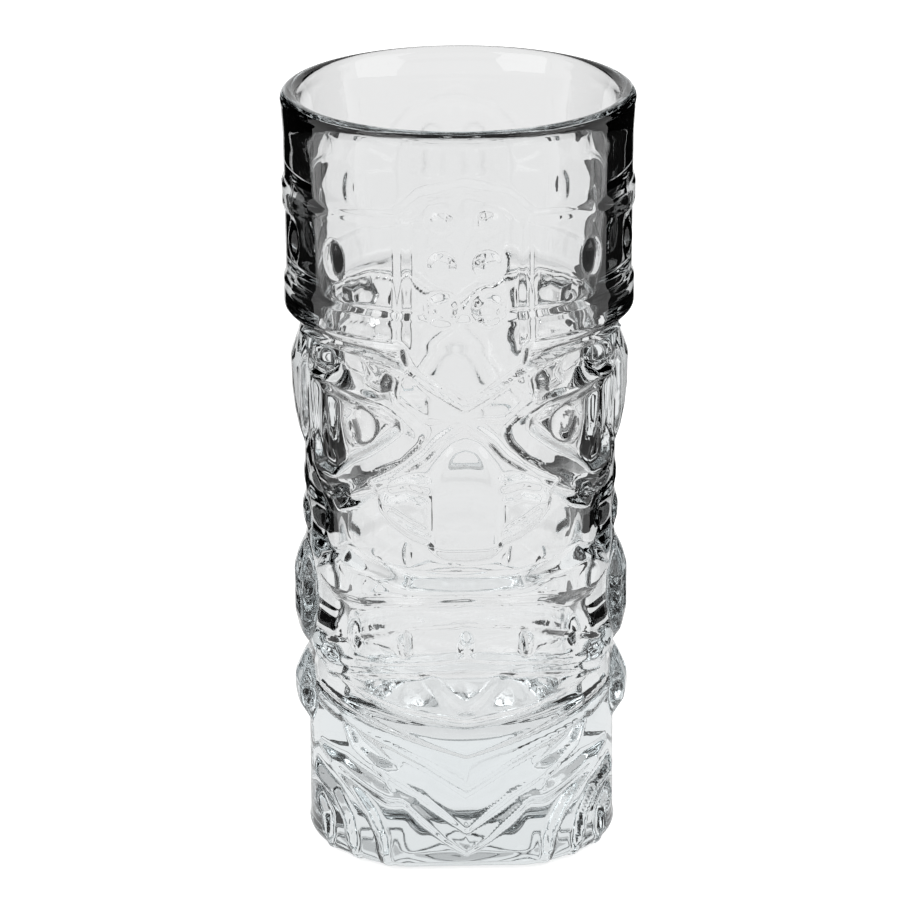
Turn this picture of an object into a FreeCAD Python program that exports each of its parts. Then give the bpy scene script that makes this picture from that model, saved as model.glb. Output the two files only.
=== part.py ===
"""Pressed-glass tiki tumbler: one solid of clear glass, drawn as a parametric document.

The row frame has +Z up and its origin at the centre of the foot. The face looks along -Y and the
same face is moulded again on the back, so every relief feature is drawn once for the front, on
both cheeks, and mirrored to the back. Relief outlines are given as (angle, height): the angle is
measured round the glass from the middle of the face, the height from a named level.
"""
import FreeCAD, Part
import math
import os

import Sketcher

SIZES = [
    ("rim_height", 164.0, "overall height"),
    ("head_radius", 37.6, "outside radius of the rim and of the headdress under it"),
    ("bead_radius", 1.65, "radius of the fire-polished rim"),
    ("band_height", 124.6, "top of the band round the foot of the headdress"),
    ("band_radius", 37.1, "outside radius of that band"),
    ("ring_height", 117.5, "lower edge of that band"),
    ("cloth_radius", 36.6, "outside radius of the headdress above that band, between its ribs"),
    ("collar_height", 155.0, "where the headdress starts to widen into the rim"),
    ("collar_radius", 37.0, "outside radius at that height"),
    ("shoulder_height", 113.0, "where the step under the headdress meets the face"),
    ("shoulder_radius", 33.3, "outside radius of the face at the shoulder"),
    ("foot_radius", 32.3, "outside radius at the foot"),
    ("foot_edge", 2.2, "rounding of the foot's edge"),
    ("push_up_radius", 21.0, "radius of the hollow under the foot"),
    ("push_up_height", 1.2, "depth of the hollow under the foot"),
    ("floor_height", 25.0, "height of the inside floor"),
    ("floor_radius", 24.4, "inside radius where the wall leaves the floor"),
    ("floor_corner", 10.0, "rounding of the inside floor corner"),
    ("throat_height", 152.0, "where the inside wall starts to flare to the rim"),
    ("throat_radius", 32.4, "inside radius at that height"),
    ("flat_foot", 29.0, "half depth of the foot across its front and back flats"),
    ("flat_height", 26.5, "height at which the flats run out"),
    ("reach", 60.0, "how far the outlines are pushed out, past the widest radius"),
    ("root", 2.2, "how deep the relief is keyed into the wall"),
    ("low_relief", 1.3, "height of the folds and frames"),
    ("lid_relief", 0.7, "height of the inner eye frames"),
    ("high_relief", 2.4, "height of the lips"),
    ("nose_relief", 3.4, "height of the nose"),
    ("cloth_relief", 0.7, "height of the headdress ribs"),
    ("groove_depth", 1.1, "depth of the grooves and sunk panels"),
    ("face_radius", 34.0, "radius at which the angles of the outlines are laid out"),
    ("brow_level", 104.0, "point of the brow ridge"),
    ("eye_level", 97.0, "middle of the eyes"),
    ("eye_angle", 45.0, "angle of the eyes from the middle of the face"),
    ("eye_radius", 4.6, "radius of the eyeballs"),
    ("eyeball_depth", 30.0, "distance of their centres from the axis"),
    ("nose_level", 70.2, "tip of the nose"),
    ("lip_level", 62.1, "lower edge of the upper lip"),
    ("tooth_level", 48.9, "lower edge of the teeth"),
    ("chin_level", 36.2, "point of the heart in the chin"),
    ("beard_level", 26.7, "point of the upper fold of the beard"),
    ("stud_radius", 3.1, "radius of the studs of the headdress"),
    ("stud_spacing", 9.2, "distance between the rows of studs"),
    ("stud_level", 126.2, "height of the lowest row of studs"),
    ("bead_level", 134.0, "height of the beads on the sides of the headdress"),
]


class Size:
    """A length together with the sheet expression that gives it."""

    def __init__(self, value, text):
        self.value = value
        self.text = text

    def __add__(self, other):
        other = as_size(other)
        return Size(self.value + other.value, f"({self.text} + {other.text})")

    def __sub__(self, other):
        other = as_size(other)
        return Size(self.value - other.value, f"({self.text} - {other.text})")

    def __mul__(self, factor):
        return Size(self.value * factor, f"({self.text} * {factor})")

    def __neg__(self):
        return Size(-self.value, f"(0 - {self.text})")


def as_size(value):
    return value if isinstance(value, Size) else Size(float(value), f"{value}")


def make_sheet(doc):
    """The driving dimensions, as plain numbers with an alias each."""
    sheet = doc.addObject("Spreadsheet::Sheet", "sizes")
    for row, (alias, value, meaning) in enumerate(SIZES, start=1):
        sheet.set(f"A{row}", alias)
        sheet.set(f"B{row}", str(value))
        sheet.set(f"C{row}", meaning)
        sheet.setAlias(f"B{row}", alias)
    doc.recompute()
    return {alias: Size(value, f"sizes.{alias}") for alias, value, meaning in SIZES}


LEFT, RIGHT = "left", "right"

doc = FreeCAD.newDocument("tiki_tumbler")
size = make_sheet(doc)


# ---- sketches and bodies ----

def new_body(name):
    body = doc.addObject("PartDesign::Body", name)
    body.AllowCompound = True
    return body


def new_sketch(body, name, plane):
    sketch = body.newObject("Sketcher::SketchObject", name)
    sketch.AttachmentSupport = next(f for f in body.Origin.OriginFeatures if f.Role == plane)
    sketch.MapMode = "FlatFace"
    return sketch


def bind(thing, name, length):
    thing.setExpression(name, length.text)


def arc_between(start, end, radius):
    """The arc of that radius, running anticlockwise from start to end."""
    chord = end - start
    lift = math.sqrt(max(radius ** 2 - chord.Length ** 2 / 4, 0.0))
    left = FreeCAD.Vector(-chord.y, chord.x, 0).normalize()
    centre = start + chord * 0.5 + left * lift
    first = math.atan2(start.y - centre.y, start.x - centre.x)
    last = math.atan2(end.y - centre.y, end.x - centre.x)
    circle = Part.Circle(centre, FreeCAD.Vector(0, 0, 1), radius)
    return Part.ArcOfCircle(circle, first, last)


def draw_outline(sketch, corners, rounds=None):
    """A closed outline through corners, each held by two bound distances from the origin.

    rounds gives the radius and the turn of each edge that is an arc, by the number of the
    corner that it starts from.
    """
    rounds = rounds or {}
    first = len(sketch.Geometry)
    spots = [FreeCAD.Vector(as_size(x).value, as_size(z).value, 0) for x, z in corners]
    ends = []
    for number, spot in enumerate(spots):
        after = spots[(number + 1) % len(spots)]
        radius, turn = rounds.get(number, (None, LEFT))
        ends.append((1, 2) if turn == LEFT else (2, 1))
        if radius is None:
            sketch.addGeometry(Part.LineSegment(spot, after), False)
        elif turn == LEFT:
            sketch.addGeometry(arc_between(spot, after, radius.value), False)
        else:
            sketch.addGeometry(arc_between(after, spot, radius.value), False)
    for number, (x, z) in enumerate(corners):
        edge = first + number
        start, end = ends[number]
        next_number = (number + 1) % len(corners)
        joined = ("Coincident", edge, end, first + next_number, ends[next_number][0])
        sketch.addConstraint(Sketcher.Constraint(*joined))
        for kind, length in (("DistanceX", as_size(x)), ("DistanceY", as_size(z))):
            held = Sketcher.Constraint(kind, -1, 1, edge, start, length.value)
            bind(sketch, f"Constraints[{sketch.addConstraint(held)}]", length)
        if number in rounds:
            radius = rounds[number][0]
            held = Sketcher.Constraint("Radius", edge, radius.value)
            bind(sketch, f"Constraints[{sketch.addConstraint(held)}]", radius)


def revolved(name, corners, rounds=None):
    """A body turned about Z from a section given as (radius, height)."""
    body = new_body(name)
    sketch = new_sketch(body, f"{name}_section", "XZ_Plane")
    draw_outline(sketch, corners, rounds)
    turn = body.newObject("PartDesign::Revolution", f"{name}_turn")
    turn.Profile = sketch
    turn.ReferenceAxis = (sketch, ["V_Axis"])
    turn.Angle = 360.0
    return body


def pushed_out(name, outlines, plane="XZ_Plane", both_ways=False):
    """Prisms of several outlines, from the middle of the glass out past its widest radius."""
    body = new_body(name)
    sketch = new_sketch(body, f"{name}_outline", plane)
    for corners in outlines:
        draw_outline(sketch, corners)
    pad = body.newObject("PartDesign::Pad", f"{name}_pad")
    pad.Profile = sketch
    pad.Midplane = both_ways
    bind(pad, "Length", size["reach"] * 2 if both_ways else size["reach"])
    return body


def across(angle):
    """Sideways distance of a point at that angle round the face."""
    value = size["face_radius"].value * math.sin(math.radians(angle))
    return Size(value, f"(sizes.face_radius * sin({angle} deg))")


def half_outline(level, points):
    return [(across(angle), size[level] + height) for angle, height in points]


def mirrored_outline(outline):
    return [(-x, z) for x, z in reversed(outline)]


def on_cheeks(level, points):
    """The same closed outline on the right and on the left cheek."""
    right = half_outline(level, points)
    return [right, mirrored_outline(right)]


def over_middle(level, points):
    """One outline across the middle: points run up or down the right side, and back on the left."""
    right = half_outline(level, points)
    left = [(-x, z) for x, z in reversed(right) if x.value != 0]
    return [right + left]


def fold_edges(points, thickness):
    """The two long edges of a fold that follows points, one above and one below."""
    upper = [(angle, height + thickness / 2) for angle, height in points]
    lower = [(angle, height - thickness / 2) for angle, height in reversed(points)]
    return upper + lower


def fold_over_middle(level, points, thickness):
    return over_middle(level, fold_edges(points, thickness))


def fold_on_cheeks(level, points, thickness):
    return on_cheeks(level, fold_edges(points, thickness))


# ---- the wall and the limits of the relief ----

def make_wall():
    """Foot, outside wall, rim, inside wall and floor, in one turned section."""
    bead_centre = size["rim_height"] - size["bead_radius"]
    corners = [
        (as_size(0), size["push_up_height"]),
        (size["push_up_radius"], as_size(0)),
        (size["foot_radius"] - size["foot_edge"], as_size(0)),
        (size["foot_radius"], size["foot_edge"]),
        (size["shoulder_radius"], size["shoulder_height"]),
        (size["band_radius"], size["ring_height"]),
        (size["band_radius"], size["band_height"] - 0.9),
        (size["cloth_radius"], size["band_height"]),
        (size["collar_radius"], size["collar_height"]),
        (size["head_radius"], bead_centre),
        (size["head_radius"] - size["bead_radius"], size["rim_height"]),
        (size["head_radius"] - size["bead_radius"] * 2, bead_centre),
        (size["throat_radius"], size["throat_height"]),
        (size["floor_radius"], size["floor_height"] + size["floor_corner"]),
        (size["floor_radius"] - size["floor_corner"], size["floor_height"]),
        (as_size(0), size["floor_height"]),
    ]
    rounds = {
        2: (size["foot_edge"], LEFT),
        9: (size["bead_radius"], LEFT),
        10: (size["bead_radius"], LEFT),
        13: (size["floor_corner"], RIGHT),
    }
    return revolved("wall", corners, rounds)


def relief_limit(name, lift, low, high):
    """A turned sleeve over the face: relief inside it stands lift proud of the wall."""
    corners = [
        (size["foot_radius"] - size["root"], as_size(low)),
        (size["foot_radius"] + lift, as_size(low)),
        (size["shoulder_radius"] + lift, as_size(high)),
        (size["shoulder_radius"] - size["root"], as_size(high)),
    ]
    return revolved(name, corners)


def cloth_limit():
    """The same for the headdress."""
    low = size["ring_height"] + 2.0
    high = size["rim_height"] - 6.0
    inner = size["cloth_radius"] - size["root"]
    outer = size["cloth_radius"] + size["cloth_relief"]
    return revolved("cloth_limit", [(inner, low), (outer, low), (outer, high), (inner, high)])


def groove_floor():
    """What grooves must leave standing: a turned core, groove depth inside the wall."""
    depth = size["groove_depth"]
    corners = [
        (as_size(0), as_size(-5)),
        (size["foot_radius"] - depth, as_size(-5)),
        (size["foot_radius"] - depth, as_size(0)),
        (size["shoulder_radius"] - depth, size["shoulder_height"] + 6.0),
        (as_size(0), size["shoulder_height"] + 6.0),
    ]
    return revolved("groove_floor", corners)


def ear_limit():
    """The side profile of the ears, seen from the front, turned into a sleeve."""
    profile = [(33.4, 27.0), (35.2, 29.6), (35.7, 33.4), (35.2, 37.0), (32.8, 40.8), (33.4, 43.6),
               (35.3, 48.0), (35.7, 52.0), (35.6, 58.6), (34.6, 62.4), (33.0, 65.6), (33.7, 72.0),
               (33.0, 77.0), (33.5, 80.4), (33.0, 84.4), (34.6, 91.4), (35.7, 98.0), (35.8, 106.4),
               (34.2, 112.0), (34.2, 115.0)]
    inner = size["foot_radius"] - size["root"]
    outer = [(as_size(radius), as_size(height)) for radius, height in profile]
    return revolved("ear_limit", [(inner, outer[0][1])] + outer + [(inner, outer[-1][1])])


def limited(name, prisms, limit):
    """The part of the prisms that lies inside the sleeve."""
    common = doc.addObject("Part::Common", name)
    common.Base = prisms
    common.Tool = limit
    return common


def fused(name, pieces):
    fuse = doc.addObject("Part::MultiFuse", name)
    fuse.Shapes = pieces
    return fuse


def on_the_back(piece):
    mirror = doc.addObject("Part::Mirroring", f"{piece.Name}_back")
    mirror.Source = piece
    mirror.Normal = FreeCAD.Vector(0, 1, 0)
    return mirror


# ---- relief of the face ----

def brow_and_eyes():
    """The V of the brow, the beads under it and the double frame of each eye."""
    brow = fold_over_middle("brow_level", [(0, 0), (19.5, 7.8), (66, 10.8)], 2.8)
    beads = on_cheeks("brow_level", [(26, 2.6), (29, 5.4), (33, 5.6), (34, 3.4), (30, 1.6)])
    beads += on_cheeks("brow_level", [(39, 4.0), (43, 7.0), (56, 7.6), (57, 5.4), (44, 3.4)])
    lower_lids = fold_on_cheeks("eye_level", [(15, 1.2), (28, -7.4), (54, -16.2), (65, -16.6)], 2.2)
    upper_lids = fold_on_cheeks("eye_level", [(16, 4.6), (41, 8.6), (66, 7.8)], 1.9)
    outer_lids = on_cheeks("eye_level", [(63, 6.0), (66, 6.0), (66, -14.6), (62, -14.4)])
    return pushed_out("brow_and_eyes", brow + beads + lower_lids + upper_lids + outer_lids)


def inner_lids():
    """The smaller triangle inside each eye frame."""
    lower = fold_on_cheeks("eye_level", [(25.5, 2.0), (34.4, -3.8), (54, -10.6)], 1.5)
    upper = fold_on_cheeks("eye_level", [(28, 3.6), (41.4, 5.2), (58, 4.6)], 1.3)
    return pushed_out("inner_lids", lower + upper)


def nose():
    return pushed_out("nose", over_middle("nose_level", [
        (0, 26.4), (8, 25.4), (12.4, 23.6), (13.2, 17.4), (10.6, 12.6), (12.4, 7.0), (9.4, 3.2), (4, 0.6),
        (0, 0)]))


def nostrils_and_teeth():
    """The leaf-shaped nostrils and the drop-shaped ridges between the teeth."""
    nostrils = on_cheeks("nose_level", [(15, 5.4), (16.6, 14.6), (22.4, 17.4), (31.4, 12.4), (23.6, 7.0)])
    ridges = over_middle("tooth_level", [(0, 6.6), (1.6, 4.0), (2.4, 1.9), (0, 1.7)])
    for angle in (23.3, 44.3):
        ridges += on_cheeks("tooth_level", [
            (angle, 4.8), (angle + 1.8, 2.4), (angle + 2.6, 0.2), (angle - 2.6, 0.6), (angle - 1.8, 2.6)])
    return pushed_out("nostrils_and_teeth", nostrils + ridges)


def lips():
    """The rolled upper lip and the fold of the lower lip."""
    upper = over_middle("lip_level", [
        (0, 3.0), (20, 2.9), (39, 5.6), (47, 6.9), (63, 2.1), (62, 0.0), (54, -2.8), (40, -2.7),
        (27, -1.3), (0, 0)])
    lower = fold_over_middle("tooth_level", [(0, -1.2), (41, -4.3), (60, -6.4)], 2.4)
    return pushed_out("lips", upper + lower)


def beard():
    """The strands that hang beside the chin."""
    lower = on_cheeks("beard_level", [(20, -9.2), (34, -6.8), (50, -3.6), (66, -4.4), (46, -8.2),
                                      (32, -10.8)])
    upper = on_cheeks("beard_level", [(27, -2.6), (38, 0.8), (51, 3.4), (44, -0.8), (34, -3.4)])
    return pushed_out("beard", lower + upper)


def ears():
    """Three pads on each side, one above the other, seen square on from +X."""
    upper = [(-8.5, 113.5), (-11.0, 106.0), (-10.0, 94.0), (-6.0, 84.0), (6.0, 84.0), (10.0, 94.0),
             (11.0, 106.0), (8.5, 113.5)]
    temple = [(-6.0, 82.6), (-6.0, 69.0), (6.0, 69.0), (6.0, 82.6)]
    lobe = [(-6.0, 65.6), (-9.5, 58.0), (-9.5, 50.0), (-6.0, 43.4), (6.0, 43.4), (9.5, 50.0),
            (9.5, 58.0), (6.0, 65.6)]
    drop = [(-5.0, 40.8), (-7.8, 36.0), (-7.8, 32.0), (-5.0, 27.4), (5.0, 27.4), (7.8, 32.0),
            (7.8, 36.0), (5.0, 40.8)]
    return pushed_out("ears", [upper, temple, lobe, drop], "YZ_Plane", both_ways=True)


def eyeballs():
    """Domes in the eye pits, on the front and on the back."""
    balls = []
    for number, (side, front) in enumerate(((-1, -1), (1, -1), (-1, 1), (1, 1))):
        place_ball(f"eyeball_{number}", balls, size["eye_radius"], size["eye_level"],
                   size["eyeball_depth"], f"{side} * sizes.eye_angle * 1 deg", front)
    return fused("eyeballs", balls)


def place_ball(name, balls, radius, level, out, angle, front):
    """A ball at that angle round the glass, out from its axis, added to balls."""
    ball = doc.addObject("Part::Sphere", name)
    bind(ball, "Radius", radius)
    ball.setExpression("Placement.Base.x", f"{out.text} * sin({angle})")
    ball.setExpression("Placement.Base.y", f"{front} * {out.text} * cos({angle})")
    bind(ball, "Placement.Base.z", level)
    balls.append(ball)


# ---- what the mould leaves sunk ----

def eye_pits():
    """The sunk ground inside each eye frame."""
    return pushed_out("eye_pits", on_cheeks("eye_level", [
        (59, 3.6), (41, 4.2), (30, 1.8), (36, -2.6), (54, -9.4), (59, -9.0)]))


def chin_grooves():
    """The heart in the chin, the nested V folds under it and the arcs at the corners of the foot."""
    heart = over_middle("chin_level", [(0, 4.6), (7, 7.6), (14.6, 8.4), (22.8, 8.2), (12, 3.4),
                                       (5.5, 1.4), (0, 0)])
    folds = fold_over_middle("beard_level", [(0, 0), (27, 4.8), (60, 9.3)], 1.6)
    folds += fold_over_middle("beard_level", [(0, -8.0), (16, -2.2), (26, -0.9)], 1.6)
    folds += fold_over_middle("beard_level", [(0, -17.6), (16, -10.8)], 1.6)
    outer_arcs = fold_on_cheeks("foot_edge", [(31, 0.5), (38, 10.1), (44.7, 14.2), (53, 17.0)], 2.0)
    inner_arcs = fold_on_cheeks("foot_edge", [(46, 2.3), (55.6, 11.0), (67, 14.0)], 2.0)
    return pushed_out("chin_grooves", heart + folds + outer_arcs + inner_arcs)


# ---- relief of the headdress ----

def gable():
    """The gabled panel over the face, as a frame, and the ribs that run round from it."""
    outer = over_middle("stud_level", [(0, 26.4), (14, 24.2), (20.6, 20.3), (21.4, -5.0)])
    inner = over_middle("stud_level", [(0, 24.2), (13, 22.2), (17.6, 19.0), (18.4, -5.0)])
    ribs = fold_on_cheeks("stud_level", [(23, 19.1), (47, 17.9), (72, 15.9)], 1.8)
    return pushed_out("gable", outer + inner + ribs)


def studs():
    """Three pairs over the nose and two beads on each side of them, front and back."""
    balls = []
    out = size["cloth_radius"] + size["cloth_relief"] - size["stud_radius"]
    for front in (-1, 1):
        face = "front" if front < 0 else "back"
        for side in (-1, 1):
            cheek = "left" if side < 0 else "right"
            for row in range(3):
                place_ball(f"stud_{face}_{cheek}_{row}", balls, size["stud_radius"],
                           size["stud_level"] + size["stud_spacing"] * row, out, f"{side * 7} deg", front)
            for angle in (47, 73):
                place_ball(f"bead_{face}_{cheek}_{angle}", balls, size["stud_radius"],
                           size["bead_level"], out, f"{side * angle} deg", front)
    return balls


# ---- the finished glass ----

def foot_flats():
    """Wedges that cut the front and back flats of the foot, leaning out to nothing above."""
    front = [
        (-size["flat_foot"], as_size(-1)),
        (-size["foot_radius"] - 0.8, size["flat_height"]),
        (-size["reach"], size["flat_height"]),
        (-size["reach"], as_size(-1)),
    ]
    return pushed_out("foot_flats", [front, mirrored_outline(front)], "YZ_Plane", both_ways=True)


def make_tumbler():
    """The wall with its relief fused on, front, back and sides, and its grooves cut."""
    wall = make_wall()
    low = relief_limit("low_limit", size["low_relief"], 10.0, 117.0)
    lid = relief_limit("lid_limit", size["lid_relief"], 70.0, 117.0)
    high = relief_limit("lip_limit", size["high_relief"], 20.0, 114.6)
    proud = relief_limit("nose_limit", size["nose_relief"], 60.0, 114.0)
    core = groove_floor()
    front = [
        limited("brow_and_eye_frames", brow_and_eyes(), low),
        limited("inner_eye_frames", inner_lids(), lid),
        limited("nostrils_and_tooth_ridges", nostrils_and_teeth(), low),
        limited("beard_strands", beard(), low),
        limited("rolled_lips", lips(), high),
        limited("nose_ridge", nose(), proud),
        limited("headdress_ribs", gable(), cloth_limit()),
    ]
    back = [on_the_back(piece) for piece in front]
    around = [limited("ear_pads", ears(), ear_limit())]
    grooves = []
    for name, prisms in (("eye_grounds", eye_pits()), ("chin_grounds", chin_grooves())):
        tool = doc.addObject("Part::Cut", name)
        tool.Base = prisms
        tool.Tool = core
        grooves += [tool, on_the_back(tool)]
    cut = doc.addObject("Part::Cut", "grooved_glass")
    cut.Base = fused("raised_glass", [wall] + around + front + back)
    cut.Tool = fused("all_grooves", grooves + [foot_flats()])
    domes = limited("eye_domes", eyeballs(), relief_limit("dome_limit", size["high_relief"], 80.0, 110.0))
    tumbler = fused("glass_tumbler", [cut, domes] + studs())
    tumbler.Label = "glass_tumbler"
    return [tumbler]


def check(nodes):
    """Stop before anything is written if an object failed or a shape is not sound."""
    for thing in doc.Objects:
        if "Invalid" in thing.State or "Error" in thing.State:
            raise SystemExit(f"{thing.Name} failed: {thing.State}")
    for node in nodes:
        if node.Shape.isNull() or not node.Shape.isValid():
            raise SystemExit(f"{node.Label} has no sound shape")
        if len(node.Shape.Solids) != 1:
            raise SystemExit(f"{node.Label} is {len(node.Shape.Solids)} solids, not one")


def main():
    nodes = make_tumbler()
    doc.recompute()
    check(nodes)
    os.makedirs("parts", exist_ok=True)
    for node in nodes:
        node.Shape.exportStep(f"parts/{node.Label}.step")
        box = node.Shape.BoundBox
        print(f"{node.Label}: volume {node.Shape.Volume / 1000:.1f} cm3, {len(node.Shape.Faces)} faces, "
              f"x {box.XMin:.1f} to {box.XMax:.1f}, y {box.YMin:.1f} to {box.YMax:.1f}, "
              f"z {box.ZMin:.1f} to {box.ZMax:.1f}")


main()
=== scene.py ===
from math import atan2, cos, degrees, exp, radians, sin

import bpy
import numpy as np
from mathutils import Euler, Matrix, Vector


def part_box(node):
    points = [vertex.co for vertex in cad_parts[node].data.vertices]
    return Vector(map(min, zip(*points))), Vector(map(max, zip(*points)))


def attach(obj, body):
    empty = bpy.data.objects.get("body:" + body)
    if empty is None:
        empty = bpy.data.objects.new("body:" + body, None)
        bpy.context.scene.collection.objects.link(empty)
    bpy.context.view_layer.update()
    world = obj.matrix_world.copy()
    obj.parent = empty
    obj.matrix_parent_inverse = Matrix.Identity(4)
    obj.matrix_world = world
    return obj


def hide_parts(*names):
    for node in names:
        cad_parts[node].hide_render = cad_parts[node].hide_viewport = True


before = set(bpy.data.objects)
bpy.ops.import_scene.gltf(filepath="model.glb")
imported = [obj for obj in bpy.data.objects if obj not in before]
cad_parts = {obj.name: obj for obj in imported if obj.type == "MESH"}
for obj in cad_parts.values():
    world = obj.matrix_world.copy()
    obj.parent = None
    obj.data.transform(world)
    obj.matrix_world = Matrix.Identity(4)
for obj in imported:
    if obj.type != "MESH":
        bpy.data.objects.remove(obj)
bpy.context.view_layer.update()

# A pressed-glass tiki tumbler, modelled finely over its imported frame.
#
# The glass is one piece, as the real one is. A plain blank is raised ring by ring from the foot,
# up the wall, over the rim and down to the inside floor. The mould then gives every point of the
# outside wall its radius: the body, the headdress, and the face that is pressed into both.
# The face is laid out as (angle, height): degrees round from the middle of the face, and
# millimetres above the foot. The same face is on the back, and both cheeks are alike.

MM = 0.001
foot_corner, top_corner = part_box("glass_tumbler")
RIM_HEIGHT = top_corner.z / MM
RIM_RADIUS = min(top_corner.x, top_corner.y) / MM


# ---- working by hand in edit mode ----

def alone(thing):
    """Leave that object selected and active, and nothing else."""
    bpy.ops.object.select_all(action="DESELECT")
    thing.select_set(True)
    bpy.context.view_layer.objects.active = thing


def select_edges(thing, chosen):
    """Select the edges for which chosen(first ends, second ends) is true, and go on in edit mode."""
    bpy.ops.object.mode_set(mode="OBJECT")
    mesh = thing.data
    spots = read_points(mesh)
    ends = np.zeros(len(mesh.edges) * 2, int)
    mesh.edges.foreach_get("vertices", ends)
    ends = ends.reshape(-1, 2)
    picked = chosen(spots[ends[:, 0]], spots[ends[:, 1]])
    mesh.vertices.foreach_set("select", np.zeros(len(mesh.vertices), bool))
    mesh.polygons.foreach_set("select", np.zeros(len(mesh.polygons), bool))
    mesh.edges.foreach_set("select", picked)
    bpy.ops.object.mode_set(mode="EDIT")
    bpy.ops.mesh.select_mode(type="EDGE")


def keep_faces(thing, kept):
    """Cut away the faces for which kept(middle) is false."""
    alone(thing)
    bpy.ops.object.mode_set(mode="EDIT")
    bpy.ops.mesh.select_mode(type="FACE")
    bpy.ops.mesh.select_all(action="DESELECT")
    bpy.ops.object.mode_set(mode="OBJECT")
    for face in thing.data.polygons:
        face.select = not kept(face.center)
    bpy.ops.object.mode_set(mode="EDIT")
    bpy.ops.mesh.delete(type="FACE")
    bpy.ops.object.mode_set(mode="OBJECT")


def read_points(mesh):
    """The mesh's points in millimetres."""
    spots = np.zeros(len(mesh.vertices) * 3)
    mesh.vertices.foreach_get("co", spots)
    return spots.reshape(-1, 3) / MM


def write_points(mesh, spots):
    """Move the mesh's points to places given in millimetres."""
    mesh.vertices.foreach_set("co", (spots * MM).ravel())
    mesh.update()


def off_axis(spots):
    """How far each point is from the axis of the glass."""
    return np.hypot(spots[:, 0], spots[:, 1])


# ---- the blank: a plain turned tumbler ----

COLUMNS = 336
FACE_CUTS, BAND_CUTS = 95, 27
MIDDLE_RADIUS = 4.0

PUSH_UP = 1.2
HOLLOW_RINGS = ((12.0, 0.85), (18.5, 0.4))    # radius, share of the push-up
BEARING_RADIUS, BEARING_MIDDLE = 21.5, 25.5
FOOT_RADIUS = 32.3
WALL_FOOT, WALL_TOP = 2.6, RIM_HEIGHT - 2.2   # the foot's edge is rounded up to the first
BAND_FOOT = 117.5
BEAD = 1.8
BEAD_HEIGHT = RIM_HEIGHT - BEAD
MOUTH_RADIUS, TAPER = 33.0, 0.0675
FLARE, FLARE_RUN = 1.0, 1.6
WALL_STEPS = 14
FLOOR_HEIGHT, FLOOR_CORNER = 25.0, 10.0
FLOOR_RINGS = ((11.0, 0.1), (MIDDLE_RADIUS, 0.15))   # radius, dip below the floor's height


def quarter(centre, radius, first, last, steps):
    """Points on an arc of the section, as (radius, height)."""
    for step in range(1, steps + 1):
        turn = radians(first + (last - first) * step / steps)
        yield centre[0] + radius * cos(turn), centre[1] + radius * sin(turn)


def inside_radius(height):
    """The inside wall: a straight taper that flares a little into the rim."""
    below = BEAD_HEIGHT - height
    return MOUTH_RADIUS - TAPER * below + FLARE * exp(-below / FLARE_RUN)


def section():
    """The half section from the hollow under the foot to the middle of the inside floor."""
    for radius, share in HOLLOW_RINGS:
        yield radius, PUSH_UP * share
    yield BEARING_RADIUS, 0.0
    yield BEARING_MIDDLE, 0.0
    yield FOOT_RADIUS - WALL_FOOT, 0.0
    yield from quarter((FOOT_RADIUS - WALL_FOOT, WALL_FOOT), WALL_FOOT, -90, 0, 6)
    yield FOOT_RADIUS, BAND_FOOT
    yield FOOT_RADIUS, WALL_TOP
    yield RIM_RADIUS, BEAD_HEIGHT
    yield from quarter((RIM_RADIUS - BEAD, BEAD_HEIGHT), BEAD, 0, 180, 12)
    corner_height = FLOOR_HEIGHT + FLOOR_CORNER
    for step in range(1, WALL_STEPS + 1):
        height = BEAD_HEIGHT + (corner_height - BEAD_HEIGHT) * (step / WALL_STEPS) ** 2
        yield inside_radius(height), height
    corner = (inside_radius(corner_height) - FLOOR_CORNER, corner_height)
    yield from quarter(corner, FLOOR_CORNER, 0, -90, 8)
    for radius, dip in FLOOR_RINGS:
        yield radius, FLOOR_HEIGHT - dip


def turn_blank():
    """Raise the blank ring by ring, close it in the middle of the floor, and cut the wall's rows."""
    bpy.ops.object.select_all(action="DESELECT")
    bpy.ops.mesh.primitive_circle_add(vertices=COLUMNS, radius=MIDDLE_RADIUS * MM, fill_type="TRIFAN",
                                      location=(0, 0, PUSH_UP * MM))
    blank = bpy.context.object
    blank.name = "pressed_tumbler"
    bpy.ops.object.transform_apply(location=True, rotation=False, scale=False)
    select_edges(blank, lambda one, two: off_axis((one + two) / 2) > MIDDLE_RADIUS * 0.9)
    radius, height = MIDDLE_RADIUS, PUSH_UP
    for wider, higher in section():
        raised = (0, 0, (higher - height) * MM)
        bpy.ops.mesh.extrude_edges_move(TRANSFORM_OT_translate={"value": raised})
        grow = wider / radius
        bpy.ops.transform.resize(value=(grow, grow, 1), center_override=(0, 0, 0))
        radius, height = wider, higher
    bpy.ops.mesh.edge_face_add()
    bpy.ops.mesh.poke()
    cut_rows(blank, WALL_FOOT, BAND_FOOT, FACE_CUTS)
    cut_rows(blank, BAND_FOOT, WALL_TOP, BAND_CUTS)
    cut_rows(blank, WALL_FOOT, WALL_TOP, 1)
    bpy.ops.mesh.select_all(action="SELECT")
    bpy.ops.mesh.normals_make_consistent(inside=False)
    bpy.ops.object.mode_set(mode="OBJECT")
    return blank


def cut_rows(blank, low, high, cuts):
    """Cut the upright edges of the outside wall between two heights into more rows."""
    def upright(one, two):
        outside = np.abs(off_axis(one) - FOOT_RADIUS) < 0.2
        straight = off_axis(one - two) < 0.01
        middle = (one[:, 2] + two[:, 2]) / 2
        return outside & straight & (middle > low) & (middle < high)

    select_edges(blank, upright)
    bpy.ops.mesh.subdivide(number_cuts=cuts)


# ---- the mould ----

ARC = radians(34.0)   # millimetres round the wall to a degree


def ease(share):
    """Go smoothly from 0 to 1 as the share does."""
    share = np.clip(share, 0, 1)
    return share * share * (3 - 2 * share)


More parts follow.
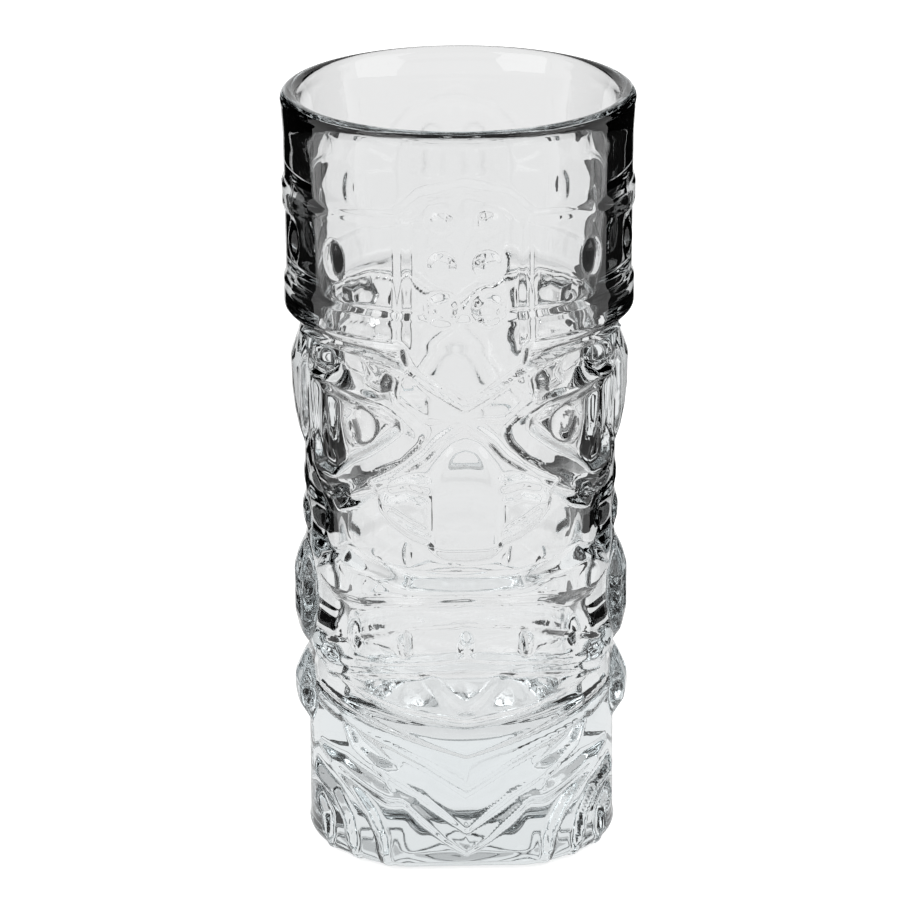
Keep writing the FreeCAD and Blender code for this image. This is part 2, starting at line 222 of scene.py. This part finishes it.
def profile(points, height):
    """Read a value at each height off a line of (height, value) points."""
    return np.interp(height, *zip(*points))


def blend_up(one, two, softness):
    """The higher of two reliefs, with the crease between them rounded."""
    share = np.clip(0.5 + 0.5 * (one - two) / softness, 0, 1)
    return two + (one - two) * share + softness * share * (1 - share)


def blend_down(one, two, softness):
    """The lower of two, with the crease between them rounded."""
    return -blend_up(-one, -two, softness)


class MouldFace:
    """Every point of the outside wall, and the tools that cut the mould there."""

    def __init__(self, angle, height):
        turned = np.abs(angle)
        turned = np.minimum(turned, 180 - turned)
        self.angle = turned
        self.across = turned * ARC
        self.up = height

    def nearest(self, points, closed=False):
        """Distance to a line of points, and the signed side of it (positive above or inside)."""
        spots = [(angle * ARC, height) for angle, height in points]
        if closed:
            spots.append(spots[0])
        best = np.full(self.up.shape, 1e9)
        side = np.zeros(self.up.shape)
        for (x0, z0), (x1, z1) in zip(spots, spots[1:]):
            dx, dz = x1 - x0, z1 - z0
            along = ((self.across - x0) * dx + (self.up - z0) * dz) / (dx * dx + dz * dz)
            along = np.clip(along, 0, 1)
            off_x, off_z = self.across - x0 - along * dx, self.up - z0 - along * dz
            away = np.hypot(off_x, off_z)
            closer = away < best
            side = np.where(closer, np.sign(dx * off_z - dz * off_x), side)
            best = np.minimum(best, away)
        return best, side

    def inside(self, points):
        """Distance inside a closed outline, negative outside it."""
        away, _ = self.nearest(points, closed=True)
        spots = [(angle * ARC, height) for angle, height in points]
        within = np.zeros(self.up.shape, bool)
        for (x0, z0), (x1, z1) in zip(spots, spots[1:] + spots[:1]):
            crosses = (z0 > self.up) != (z1 > self.up)
            where = x0 + (self.up - z0) * (x1 - x0) / (z1 - z0 if z1 != z0 else 1)
            within ^= crosses & (self.across < where)
        return np.where(within, away, -away)

    def fold(self, points, width, rise):
        """A rounded ridge along a line."""
        away, _ = self.nearest(points)
        return rise * ease(1 - away / (width / 2))

    def panel(self, points, rise, edge):
        """A flat raised panel, with an edge that slopes over that width."""
        return rise * ease(0.5 + self.inside(points) / edge)

    def shingle(self, points, rise, run, edge=0.9):
        """A layer that stands proud along its lower edge and runs back to nothing above it."""
        away, side = self.nearest(points)
        above = away * side
        return rise * ease(0.5 + above / edge) * np.clip(1 - above / run, 0, 1)

    def dome(self, middle, half_width, half_height, rise, fullness=0.75):
        """A rounded boss with an oval outline."""
        sideways = (self.across - middle[0] * ARC) / half_width
        upwards = (self.up - middle[1]) / half_height
        return rise * np.clip(1 - sideways ** 2 - upwards ** 2, 0, 1) ** fullness


# Sizes up the wall, as (height, millimetres from the axis).
BODY = [(0, 32.3), (60, 32.4), (85, 32.8), (113, 33.5)]
DRUM = [(100, 36.4), (117.5, 37.1), (123.8, 37.1), (124.8, 36.6), (155, 37.0), (BEAD_HEIGHT, 37.5)]
FOOT_FLATS = [(0, 29.0), (3, 29.2), (26, 33.0), (200, 60.0)]


def headdress(face):
    """The drum over the face: its band, its gabled panel, its ribs, studs and beads."""
    edge = [(0, 104.6), (20.5, 112.6), (21.5, 116.6), (90, 116.0), (130, 116.0), (130, 190), (-40, 190),
            (-40, 112)]
    lift = (profile(DRUM, face.up) - profile(BODY, face.up)) * ease(0.5 + face.inside(edge) / 4.0)
    rib = face.fold([(20.6, 110), (20.6, 146.5), (14, 150.4), (0, 152.6)], 3.2, 0.5)
    rib = rib - face.fold([(20.6, 110), (20.6, 146.5)], 1.2, 0.25)
    bar = face.fold([(22, 145.4), (47, 144.2)], 2.2, 0.45)
    wedge = face.panel([(48, 143.6), (66, 144.9), (90, 145.2), (90, 138.8), (66, 141.2)], 0.55, 1.8)
    detail = np.maximum(np.maximum(rib, bar), wedge)
    for height, radius in ((144.6, 2.6), (135.6, 2.9), (126.2, 3.3)):
        middle = (7.6, height)
        cap = radius - 0.4
        stud = face.dome(middle, radius, radius, 0.5, 1.0)
        stud = stud + face.panel(oval(middle, cap / ARC, cap), 0.5, 1.0)
        detail = np.maximum(detail, stud)
    for angle in (47, 73):
        detail = np.maximum(detail, face.dome((angle, 134.0), 2.4, 3.8, 0.95, 0.8))
    return lift, detail


BROW_LINE = [(-8, 106.8), (0, 104.1), (10.6, 108.0), (19.5, 111.6), (35.5, 114.2), (67, 115.6)]


def brow(face):
    """The V of the brow with the band under it, and the bands that cross over the nose."""
    relief = face.fold(BROW_LINE, 3.2, 2.6)
    band = face.panel([(-14, 100.5), (0, 101.0), (14, 100.5), (27, 106), (40, 108.6), (68, 108.6),
                       (68, 115), (36, 113.8), (20, 111.0), (0, 103.6), (-20, 111)], 1.3, 2.4)
    cross = face.fold([(-9, 104.5), (0, 101.0), (9.5, 96.6), (14.8, 93.0), (27.2, 87.8), (36, 85.4),
                       (55, 81.4)], 3.8, 1.1)
    side = face.fold([(67, 115), (67.5, 107), (67, 92), (65, 85.5), (58, 81.5)], 3.4, 2.1)
    relief = blend_up(relief, blend_up(band, cross, 0.3), 0.3)
    return blend_up(relief, side, 0.3)


def eye_ring(face):
    """The raised ring of the lids, lowest beside the nose."""
    ring = [(66, 107.0), (51, 107.4), (39.6, 106.8), (27.5, 104.6), (19.2, 102.0), (15.2, 99.7),
            (14.3, 97.7), (15.7, 95.4), (21.7, 91.4), (34.4, 87.4), (46, 84.6), (54.6, 82.4),
            (61, 83.2), (65.5, 86.6)]
    return face.panel(ring, 2.4, 3.0) * np.interp(face.angle, [14, 42], [0.4, 1.0])


def sunk_eye(face):
    """What is cut into the ring: a lid, the hollow of the eye, its ball and iris, and the pits by it."""
    lid = [(63, 105.2), (54, 105.4), (39.6, 103.4), (31, 102.8), (24.3, 100.4), (23.8, 98.2), (32, 94.6),
           (43.5, 90.4), (51, 86.6), (60, 87.4), (64, 94.0)]
    hollow = [(56.6, 102.4), (47, 101.8), (40, 101.8), (26.5, 99.2), (28.5, 97.0), (35, 93.8), (51, 88.4),
              (54, 91.4), (56.2, 96.5)]
    relief = -face.panel(lid, 2.0, 2.0) - face.panel(hollow, 2.0, 2.6)
    leaf = face.panel([(61.5, 105.0), (50, 104.2), (41, 102.4), (50, 102.8), (60, 103.4)], 1.0, 1.2)
    ball = face.dome((44.4, 97.2), 4.9, 4.7, 1.8) + face.panel(oval((43.0, 97.3), 5.1, 3.7), 0.35, 1.1)
    relief += np.maximum(leaf, ball)
    slant = np.interp(face.angle, [34, 56], [0.3, 1.0])
    relief -= slant * face.panel([(55.5, 113.8), (44.2, 113.8), (38.0, 112.2), (35.0, 109.8), (38, 108.3),
                                  (48.8, 108.4), (55.5, 109.2)], 4.2, 1.8)
    relief -= face.panel([(26.9, 110.3), (24.4, 109.1), (26.0, 105.5), (29.8, 106.7)], 2.0, 1.8)
    relief += face.dome((59.4, 110.9), 2.8, 2.3, 1.3)
    relief -= slant * face.panel([(55.4, 80.9), (44.9, 84.2), (35.6, 85.6), (34.4, 83.6), (42.5, 80.4),
                                  (52.2, 78.8)], 3.4, 1.8)
    return relief


def sunk_chin(face):
    """The cleft of the chin, and the leaf cut beside the beard."""
    cleft = [(-16, 45.2), (16, 45.2), (11, 42.0), (5.5, 38.6), (0, 36.0), (-5.5, 38.6)]
    leaf = [(26.5, 23.6), (38, 27.4), (52, 31.4), (46, 26.2), (36, 23.4)]
    return -face.panel(cleft, 1.6, 3.2) - face.panel(leaf, 1.6, 2.0)


def oval(middle, half_angle, half_height):
    """A closed outline of twelve points."""
    turns = [radians(30 * step) for step in range(12)]
    return [(middle[0] + half_angle * cos(turn), middle[1] + half_height * sin(turn)) for turn in turns]


def nose(face):
    """A bell-shaped nose that stands out most at its tip, and a leaf-shaped wing at each side."""
    bell = [(-30, 97), (0, 96.6), (5, 95.6), (8, 93.6), (11, 90.6), (13.8, 86.8), (13.4, 80),
            (13.2, 73.2), (9, 70.2), (0, 69.2), (-30, 69.2)]
    profile = (1.3 + 1.7 * ease((97 - face.up) / 19)) * ease((face.up - 68.6) / 5.4)
    round_over = 1 - 0.3 * np.clip(face.across / 8.2, 0, 1) ** 2
    bridge = profile * round_over * ease(0.5 + face.inside(bell) / 3.6)
    wing = face.panel([(12.5, 87.6), (17, 88.2), (22.3, 88.0), (28, 86.4), (32.4, 83.0), (31.4, 80.6),
                       (27, 77.8), (20, 75.2), (12.5, 73.8)], 1.9, 3.0)
    wing = wing - face.fold([(15, 84.6), (21, 85.4), (28, 84.0)], 4.6, 1.0)
    wing = wing - face.fold([(15, 76.8), (21, 78.4), (28, 80.6)], 2.4, 0.7)
    return blend_up(bridge, wing, 0.2)


def mouth(face):
    """The rolled upper lip, the row of teeth and the folds of the lower lip."""
    lip = [(-30, 66.0), (0, 65.4), (20, 65.4), (39, 68.0), (47, 69.4), (63.4, 65.2), (66, 62.6),
           (54, 59.0), (40.6, 58.9), (27, 60.4), (0, 61.6), (-30, 61)]
    relief = face.panel(lip, 2.9, 4.4)
    gum = face.shingle([(-5, 56.1), (0, 56.1), (19.7, 54.7), (41, 50.9), (62, 47)], 1.3, 7.0)
    relief = blend_up(relief, gum, 0.3)
    for angle in (0, 23.3, 44.3):
        relief = blend_up(relief, face.dome((angle, 50.9), 1.7, 3.7, 1.8), 0.3)
    relief = blend_up(relief, face.fold([(-5, 48.7), (0, 48.7), (41, 45.6), (62, 44.0)], 2.0, 1.6), 0.3)
    relief = blend_up(relief, face.fold([(-5, 46.2), (0, 46.2), (30, 44.4), (58, 41.2)], 3.0, 2.2), 0.3)
    return relief


def chin_and_beard(face):
    """The chin, the layered points of the beard, its strands, and the whorls of the foot."""
    relief = layer(face, [(-6, 35.0), (0, 34.8), (25, 36.8), (45, 39.6), (66, 43.0)], 1.8, 13.0)
    for points in ([(-8, 28.2), (0, 26.7), (27, 31.5), (64, 37.0)],
                   [(-8, 21.5), (0, 18.7), (16, 24.5), (28, 27.4), (66, 33.4)],
                   [(-8, 13.0), (0, 9.1), (16, 17.1), (30, 21.0)],
                   [(-8, 7.0), (0, 3.8), (8.6, 7.3), (20, 14.0), (30, 19)]):
        relief = blend_up(relief, layer(face, points, 1.5, 7.5), 0.2)
    strand = [(17, 16.4), (34, 19.0), (50, 22.6), (68, 23.0), (54, 19.6), (46, 18.4), (30, 15.0)]
    relief = blend_up(relief, face.panel(strand, 1.9, 2.6), 0.2)
    whorls = np.zeros(face.up.shape)
    for arc in ([(56, 20.6), (44.7, 16.4), (38, 12.3), (33, 7.0), (31, 0)],
                [(72, 17.6), (55.6, 14.2), (49, 9.4), (46, 2.0)],
                [(80, 11.4), (68, 11.0), (62, 8.0), (61, 1.0)]):
        whorls = blend_up(whorls, face.fold(arc, 4.4, 2.4), 0.2)
    fading = ease((80 - face.angle) / 16) * ease((face.up - 0.5) / 4)
    return blend_up(relief, whorls * fading, 0.2)


def layer(face, points, rise, run):
    """A shingle with a rolled lower edge, for the chin and beard."""
    return face.shingle(points, rise, run, 1.5) + face.fold(points, 2.4, 0.5)


# Up the side of the head: height, how far the pads stand out, and half their width in degrees.
EAR_PADS = [
    (25, 0.0, 10), (28, 1.7, 13), (30, 2.9, 15), (32.4, 3.3, 16), (34.7, 3.3, 16), (38.5, 1.6, 12),
    (41, 0.2, 9), (42.4, 0.2, 9), (44, 1.1, 12), (46, 2.3, 15), (50, 3.2, 18), (59, 3.2, 18),
    (62, 2.3, 15), (65.5, 0.6, 11), (68, 0.3, 10), (71, 1.1, 13), (73, 1.1, 13), (76.5, 0.1, 9),
    (79, 0.6, 10), (81, 0.6, 10), (84, 0.0, 9), (87, 0.2, 9), (91, 1.4, 13), (95, 2.1, 17),
    (100, 2.5, 20), (106.5, 2.5, 20), (111, 0.8, 18), (114, 0.0, 16)]


def ears(face):
    """Three pads at each side, one above the other, with two small rolls between them."""
    rise = profile([(height, out) for height, out, _ in EAR_PADS], face.up)
    reach = profile([(height, wide) for height, _, wide in EAR_PADS], face.up)
    return rise * ease((reach + 3 - np.abs(90 - face.angle)) / 6)


def mould_radius(angle, height):
    """The radius that the mould gives the outside wall at that angle and height."""
    face = MouldFace(angle, height)
    flat = profile(FOOT_FLATS, height) / np.cos(np.radians(face.angle) * 0.98)
    body = blend_down(profile(BODY, height), flat, 0.8)
    relief = np.zeros(height.shape)
    for feature in (brow, eye_ring, nose, mouth, chin_and_beard, ears):
        relief = blend_up(relief, feature(face), 0.25)
    lift, detail = headdress(face)
    foot_band = 0.5 * ease((4.0 - height) / 1.2)
    relief = np.maximum(blend_up(relief, lift, 0.3), foot_band)
    relief += face.fold(BROW_LINE, 2.3, 0.9)
    return body + relief + sunk_eye(face) + sunk_chin(face) + detail * ease((height - 105) / 6)


def looks_out(mesh, spots):
    """Which points belong to the outside: their normals look away from the axis."""
    normals = np.zeros(len(mesh.vertices) * 3)
    mesh.vertices.foreach_get("normal", normals)
    normals = normals.reshape(-1, 3)
    return spots[:, 0] * normals[:, 0] + spots[:, 1] * normals[:, 1] > 0


def press(blank):
    """Push the outside wall out to the mould, and the foot with it."""
    spots = read_points(blank.data)
    reach = off_axis(spots)
    angle = np.degrees(np.arctan2(spots[:, 0], -spots[:, 1]))
    height = spots[:, 2]
    wall = looks_out(blank.data, spots) & (height >= WALL_FOOT - 0.01) & (height <= WALL_TOP + 0.01)
    foot = (reach > BEARING_RADIUS + 0.1) & (height < WALL_FOOT - 0.01)
    pressed = reach.copy()
    pressed[wall] = mould_radius(angle[wall], height[wall])
    foot_edge = mould_radius(angle[foot], np.full(foot.sum(), WALL_FOOT))
    share = ease((reach[foot] - BEARING_RADIUS) / (FOOT_RADIUS - WALL_FOOT - BEARING_RADIUS))
    pressed[foot] = reach[foot] + (foot_edge - FOOT_RADIUS) * share
    spots[:, :2] *= (pressed / np.maximum(reach, 1e-6))[:, None]
    write_points(blank.data, spots)
    fire_polish(blank, wall)


def fire_polish(tumbler, wall):
    """Soften the pressed wall a little, as the flame does to the glass as it leaves the mould."""
    alone(tumbler)
    pressed = tumbler.vertex_groups.new(name="pressed")
    pressed.add(np.flatnonzero(wall).tolist(), 1.0, "REPLACE")
    polish = tumbler.modifiers.new("polish", "SMOOTH")
    polish.factor = 0.5
    polish.iterations = 1
    polish.vertex_group = "pressed"
    bpy.ops.object.modifier_apply(modifier="polish")
    tumbler.vertex_groups.clear()


# ---- glass ----

class Wire:
    """A socket that can be used in an expression."""

    def __init__(self, nodes, socket):
        self.nodes = nodes
        self.socket = socket

    def __mul__(self, other):
        return self.nodes.add("ShaderNodeMath", {"operation": "MULTIPLY"}, {0: self, 1: other})

    __rmul__ = __mul__


class Recipe:
    """A material's nodes."""

    def __init__(self, name):
        self.material = bpy.data.materials.new(name)
        self.material.use_nodes = True
        self.tree = self.material.node_tree
        self.tree.nodes.clear()

    def add(self, kind, settings=None, inputs=None, output=0):
        """Add a node: its settings first, then the values or wires of its sockets."""
        node = self.tree.nodes.new(kind)
        for name, value in (settings or {}).items():
            setattr(node, name, value)
        for name, value in (inputs or {}).items():
            if isinstance(value, Wire):
                self.tree.links.new(value.socket, node.inputs[name])
            else:
                node.inputs[name].default_value = value
        return Wire(self, node.outputs[output]) if node.outputs else None


def clear_glass():
    """Soda-lime glass: a trace of cool grey in the thick, and the faint ripple of a chilled skin."""
    recipe = Recipe("clear_glass")
    place = recipe.add("ShaderNodeTexCoord", output="Object")
    chill = recipe.add("ShaderNodeTexNoise", inputs={"Vector": place, "Scale": 90.0, "Detail": 2.0})
    skin = recipe.add("ShaderNodeBump", inputs={"Strength": 0.25, "Distance": 0.0002, "Height": chill})
    smear = recipe.add("ShaderNodeTexNoise", inputs={"Vector": place, "Scale": 40.0, "Detail": 3.0})
    surface = recipe.add("ShaderNodeBsdfPrincipled", inputs={
        "Base Color": (1, 1, 1, 1), "Roughness": smear * 0.02, "IOR": 1.52,
        "Transmission Weight": 1.0, "Normal": skin})
    tint = recipe.add("ShaderNodeVolumeAbsorption", inputs={
        "Color": (0.80, 0.92, 0.96, 1), "Density": 6.0})
    recipe.add("ShaderNodeOutputMaterial", inputs={"Surface": surface, "Volume": tint})
    return recipe.material


def make_tumbler():
    """The whole glass, which stands for its CAD node."""
    tumbler = turn_blank()
    press(tumbler)
    alone(tumbler)
    bpy.ops.object.shade_smooth()
    tumbler.data.materials.append(clear_glass())
    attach(tumbler, "root")
    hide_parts("glass_tumbler")
    return tumbler


# ---- table, light and camera ----

def matt(name, grey, glow=0.0):
    """A flat grey, which may glow as well."""
    recipe = Recipe(name)
    surface = recipe.add("ShaderNodeBsdfPrincipled", inputs={
        "Base Color": (grey, grey, grey, 1), "Roughness": 0.8, "Specular IOR Level": 0.0,
        "Emission Color": (1, 1, 1, 1), "Emission Strength": glow})
    recipe.add("ShaderNodeOutputMaterial", inputs={"Surface": surface})
    return recipe.material


TABLE_SIZE = 8.0
FLAG_RADIUS, FLAG_HEIGHT = 0.16, 0.30
FLAG_NEAR, FLAG_FAR = 27, 77   # degrees off straight behind the glass
GLASS_MIDDLE = Vector((0, 0, 0.08))
CAMERA_AIM, CAMERA_DISTANCE, FOCAL_LENGTH = Vector((0, 0, 0.082)), 1.670, 306.4


def flat_card(name, height, material):
    """A level square card, with the glass over its middle."""
    bpy.ops.object.select_all(action="DESELECT")
    bpy.ops.mesh.primitive_plane_add(size=TABLE_SIZE, location=(0, 0, height))
    card = bpy.context.object
    card.name = name
    card.data.materials.append(material)
    return card


def make_table():
    """A white table, and the glowing card that the glass sees in its place, its glow painted light on the
    table: bright behind, with painted shade in front.
    """
    flat_card("white_table", -0.0006, matt("white_table", 0.9, 0.6))
    # The card glows instead of being lit: painted light on the table as the glass sees it, with no shadow
    # from the glass.
    recipe = Recipe("painted_light_table_in_glass")
    place = recipe.add("ShaderNodeTexCoord", output="Object")
    depth = recipe.add("ShaderNodeSeparateXYZ", inputs={"Vector": place}, output="Y")
    back = recipe.add("ShaderNodeMapRange", {"interpolation_type": "SMOOTHSTEP"},
                      {"Value": depth, "From Min": -0.15, "From Max": 0.05, "To Min": 0.0, "To Max": 1.0})
    # Painted shade in front (0.5 grey) and painted light behind (0.84 grey), blended by depth.
    shade = recipe.add("ShaderNodeMix", {"data_type": "RGBA"},
                       {"Factor": back, 6: (0.5, 0.5, 0.5, 1), 7: (0.84, 0.84, 0.84, 1)}, output=2)
    surface = recipe.add("ShaderNodeBsdfPrincipled", inputs={
        "Base Color": (0, 0, 0, 1), "Specular IOR Level": 0.0,
        "Emission Color": shade, "Emission Strength": 1.0})
    recipe.add("ShaderNodeOutputMaterial", inputs={"Surface": surface})
    only_for_glass(flat_card("painted_light_table_in_glass", -0.0003, recipe.material))


def only_for_glass(card):
    """The card is seen in the glass, and neither by the camera nor by the table."""
    card.visible_camera = False
    card.visible_diffuse = False
    card.visible_shadow = False


def make_flags():
    """Two curved black flags behind the glass, left and right: they draw its dark edges."""
    bpy.ops.object.select_all(action="DESELECT")
    bpy.ops.mesh.primitive_cylinder_add(vertices=120, radius=FLAG_RADIUS, depth=FLAG_HEIGHT,
                                        end_fill_type="NOTHING", location=(0, 0, FLAG_HEIGHT / 2))
    flags = bpy.context.object
    flags.name = "black_flags"
    keep_faces(flags, lambda middle: FLAG_NEAR < abs(degrees(atan2(middle.x, middle.y))) < FLAG_FAR)
    flags.data.materials.append(matt("black_cloth", 0.004))
    only_for_glass(flags)


def make_ceiling():
    """A dim canopy high over the glass, which takes the glare off its rim and foot."""
    bpy.ops.object.select_all(action="DESELECT")
    bpy.ops.mesh.primitive_cone_add(vertices=64, radius1=2.0, radius2=0.3, depth=1.2,
                                    end_fill_type="NGON", location=(0, 0, 1.75))
    ceiling = bpy.context.object
    ceiling.name = "dim_ceiling"
    ceiling.data.materials.append(matt("dim_ceiling", 0.0, 0.5))
    only_for_glass(ceiling)


def soft_box(name, place, size, power):
    """A soft light that looks at the middle of the glass, and isn't seen by the camera."""
    light = bpy.data.lights.new(name, "AREA")
    light.shape = "RECTANGLE"
    light.size, light.size_y = size
    light.energy = power
    box = bpy.data.objects.new(name, light)
    bpy.context.collection.objects.link(box)
    box.location = place
    look = GLASS_MIDDLE - Vector(place)
    box.rotation_mode = "QUATERNION"
    box.rotation_quaternion = look.to_track_quat("-Z", "Y")
    box.visible_camera = False


def make_light():
    """Two soft boxes in front, high at the left and right, and a white room."""
    soft_box("left_soft_box", (-0.9, -0.7, 0.9), (0.9, 1.3), 6.0)
    soft_box("right_soft_box", (0.9, -0.5, 0.8), (0.8, 1.3), 4.0)
    world = bpy.data.worlds.new("studio")
    bpy.context.scene.world = world
    world.use_nodes = True
    room = world.node_tree.nodes["Background"]
    room.inputs["Color"].default_value = (1, 1, 1, 1)
    room.inputs["Strength"].default_value = 0.8
    bpy.context.scene.view_settings.view_transform = "Standard"


def make_camera():
    """Far off and a little above, looking down at the glass from its front."""
    lens = bpy.data.cameras.new("camera")
    camera = bpy.data.objects.new("camera", lens)
    bpy.context.collection.objects.link(camera)
    rise, turn, lean = radians(17.4), radians(-1.9), radians(-0.3)
    back = Vector((sin(turn) * cos(rise), -cos(turn) * cos(rise), sin(rise)))
    camera.location = CAMERA_AIM + back * CAMERA_DISTANCE
    aimed = (-back).to_track_quat("-Z", "Y")
    camera.rotation_mode = "QUATERNION"
    camera.rotation_quaternion = aimed @ Euler((0, 0, lean)).to_quaternion()
    lens.sensor_width = 36.0
    lens.lens = FOCAL_LENGTH
    lens.clip_start = 0.1
    bpy.context.scene.camera = camera


make_tumbler()
make_table()
make_flags()
make_ceiling()
make_light()
make_camera()
